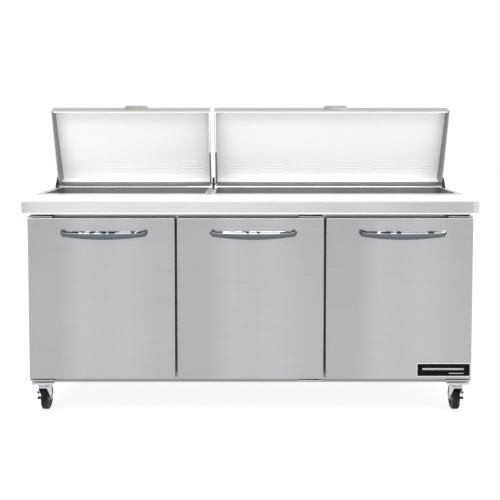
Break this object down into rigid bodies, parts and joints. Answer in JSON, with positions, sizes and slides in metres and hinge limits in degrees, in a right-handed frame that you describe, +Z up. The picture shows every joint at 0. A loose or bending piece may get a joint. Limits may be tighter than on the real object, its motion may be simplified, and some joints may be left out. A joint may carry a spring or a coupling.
{
  "type": "refrigerated sandwich prep table",
  "caption": "Stainless refrigerated prep table on casters, with hinged lids over a food pan rail, a full-width cutting board and hinged doors below.",
  "frame": {"origin": "on the floor, under the middle of the worktop", "axes": "+Z up, +X along the worktop to the right as one faces the doors, +Y from the doors to the back"},
  "size_m": [1.8288, 0.762, 1.2825],
  "materials": {
    "brushed": "satin",
    "satin": "satin",
    "galvanised": "matte",
    "chrome": "polished",
    "aluminium": "satin",
    "board": "matte",
    "foam": "matte",
    "gasket": "matte",
    "rubber": "matte",
    "plastic": "satin",
    "enamel": "gloss"
  },
  "bodies": {
    "root": {"back_panel": "galvanised", "base_frame": "galvanised", "compressor": "enamel", "condenser_coil": "aluminium", "control_panel": "plastic", "cord_gland": "plastic", "end_panel_left": "brushed", "end_panel_right": "brushed", "evaporator_coil": "aluminium", "face_frame": "brushed", "hinge_bottom_left": "brushed", "hinge_bottom_middle": "brushed", "hinge_bottom_right": "brushed", "hinge_top_left": "brushed", "hinge_top_middle": "brushed", "hinge_top_right": "brushed", "inner_liner": "aluminium", "insulation": "foam", "lid_bracket_centre": "plastic", "lid_bracket_left": "plastic", "lid_bracket_right": "plastic", "pan_well": "galvanised", "rear_grille": "enamel", "shelf_left": "chrome", "shelf_middle": "chrome", "shelf_right": "chrome", "worktop": "brushed"},
    "door_left": {"door_left_panel": "brushed", "door_left_gasket": "gasket", "door_left_handle": "chrome"},
    "door_middle": {"door_middle_panel": "brushed", "door_middle_gasket": "gasket", "door_middle_handle": "chrome"},
    "door_right": {"door_right_panel": "brushed", "door_right_gasket": "gasket", "door_right_handle": "chrome", "nameplate": "enamel"},
    "lid_left": {"lid_left_shell": "brushed", "lid_left_liner": "satin"},
    "lid_right": {"lid_right_shell": "brushed", "lid_right_liner": "satin"},
    "caster_front_left_swivel": {"caster_front_left_fork": "chrome"},
    "caster_front_left_roller": {"caster_front_left_wheel": "rubber"},
    "caster_front_left_brake": {"caster_front_left_brake": "plastic"},
    "caster_front_right_swivel": {"caster_front_right_fork": "chrome"},
    "caster_front_right_roller": {"caster_front_right_wheel": "rubber"},
    "caster_front_right_brake": {"caster_front_right_brake": "plastic"},
    "caster_rear_left_swivel": {"caster_rear_left_fork": "chrome"},
    "caster_rear_left_roller": {"caster_rear_left_wheel": "rubber"},
    "caster_rear_right_swivel": {"caster_rear_right_fork": "chrome"},
    "caster_rear_right_roller": {"caster_rear_right_wheel": "rubber"},
    "condenser_fan": {"condenser_fan": "plastic"},
    "evaporator_fan": {"evaporator_fan": "plastic"},
    "control_knob": {"control_knob": "plastic"},
    "cutting_board": {"cutting_board": "board"},
    "pan_row_left_front": {"pan_row_left_front": "satin"},
    "pan_row_left_back": {"pan_row_left_back": "satin"},
    "pan_row_right_front": {"pan_row_right_front": "satin"},
    "pan_row_right_back": {"pan_row_right_back": "satin"}
  },
  "joints": [
    {"name": "door_left_hinge", "type": "hinge", "parent": "root", "child": "door_left", "pos_m": [-0.887, -0.343, 0.49075], "axis": [0, 0, -1], "range_deg": [0, 105]},
    {"name": "door_middle_hinge", "type": "hinge", "parent": "root", "child": "door_middle", "pos_m": [0.28433, -0.343, 0.49075], "axis": [0, 0, 1], "range_deg": [0, 105]},
    {"name": "door_right_hinge", "type": "hinge", "parent": "root", "child": "door_right", "pos_m": [0.887, -0.343, 0.49075], "axis": [0, 0, 1], "range_deg": [0, 105]},
    {"name": "lid_left_hinge", "type": "hinge", "parent": "root", "child": "lid_left", "pos_m": [-0.5439, 0.199, 0.914], "axis": [-1, 0, 0], "range_deg": [-70.5, 21.5]},
    {"name": "lid_right_hinge", "type": "hinge", "parent": "root", "child": "lid_right", "pos_m": [0.3701, 0.199, 0.914], "axis": [-1, 0, 0], "range_deg": [-70.5, 21.5]},
    {"name": "caster_front_left_swivel", "type": "hinge", "parent": "root", "child": "caster_front_left_swivel", "pos_m": [-0.858, -0.284, 0.131], "axis": [0, 0, 1], "continuous": true},
    {"name": "caster_front_left_roll", "type": "hinge", "parent": "caster_front_left_swivel", "child": "caster_front_left_roller", "pos_m": [-0.858, -0.246, 0.051], "axis": [1, 0, 0], "continuous": true},
    {"name": "caster_front_left_brake_rock", "type": "hinge", "parent": "caster_front_left_swivel", "child": "caster_front_left_brake", "pos_m": [-0.858, -0.246, 0.051], "axis": [1, 0, 0], "range_deg": [0, 18]},
    {"name": "caster_front_right_swivel", "type": "hinge", "parent": "root", "child": "caster_front_right_swivel", "pos_m": [0.858, -0.284, 0.131], "axis": [0, 0, 1], "continuous": true},
    {"name": "caster_front_right_roll", "type": "hinge", "parent": "caster_front_right_swivel", "child": "caster_front_right_roller", "pos_m": [0.858, -0.246, 0.051], "axis": [1, 0, 0], "continuous": true},
    {"name": "caster_front_right_brake_rock", "type": "hinge", "parent": "caster_front_right_swivel", "child": "caster_front_right_brake", "pos_m": [0.858, -0.246, 0.051], "axis": [1, 0, 0], "range_deg": [0, 18]},
    {"name": "caster_rear_left_swivel", "type": "hinge", "parent": "root", "child": "caster_rear_left_swivel", "pos_m": [-0.858, 0.285, 0.131], "axis": [0, 0, 1], "continuous": true},
    {"name": "caster_rear_left_roll", "type": "hinge", "parent": "caster_rear_left_swivel", "child": "caster_rear_left_roller", "pos_m": [-0.858, 0.323, 0.051], "axis": [1, 0, 0], "continuous": true},
    {"name": "caster_rear_right_swivel", "type": "hinge", "parent": "root", "child": "caster_rear_right_swivel", "pos_m": [0.858, 0.285, 0.131], "axis": [0, 0, 1], "continuous": true},
    {"name": "caster_rear_right_roll", "type": "hinge", "parent": "caster_rear_right_swivel", "child": "caster_rear_right_roller", "pos_m": [0.858, 0.323, 0.051], "axis": [1, 0, 0], "continuous": true},
    {"name": "condenser_fan_spin", "type": "hinge", "parent": "root", "child": "condenser_fan", "pos_m": [0.5657, 0.2775, 0.2713], "axis": [0, 1, 0], "continuous": true},
    {"name": "evaporator_fan_spin", "type": "hinge", "parent": "root", "child": "evaporator_fan", "pos_m": [0.18, 0.2302, 0.704], "axis": [0, 1, 0], "continuous": true},
    {"name": "control_knob_turn", "type": "hinge", "parent": "root", "child": "control_knob", "pos_m": [0.3402, 0.3706, 0.4053], "axis": [0, 1, 0], "range_deg": [0, 270]},
    {"name": "cutting_board_lift", "type": "slide", "parent": "root", "child": "cutting_board", "axis": [0, 0, 1], "range_m": [0, 0.06]},
    {"name": "pan_row_left_front_lift", "type": "slide", "parent": "root", "child": "pan_row_left_front", "axis": [0, 0, 1], "range_m": [0, 0.12]},
    {"name": "pan_row_left_back_lift", "type": "slide", "parent": "root", "child": "pan_row_left_back", "axis": [0, 0, 1], "range_m": [0, 0.12]},
    {"name": "pan_row_right_front_lift", "type": "slide", "parent": "root", "child": "pan_row_right_front", "axis": [0, 0, 1], "range_m": [0, 0.12]},
    {"name": "pan_row_right_back_lift", "type": "slide", "parent": "root", "child": "pan_row_right_back", "axis": [0, 0, 1], "range_m": [0, 0.12]}
  ]
}
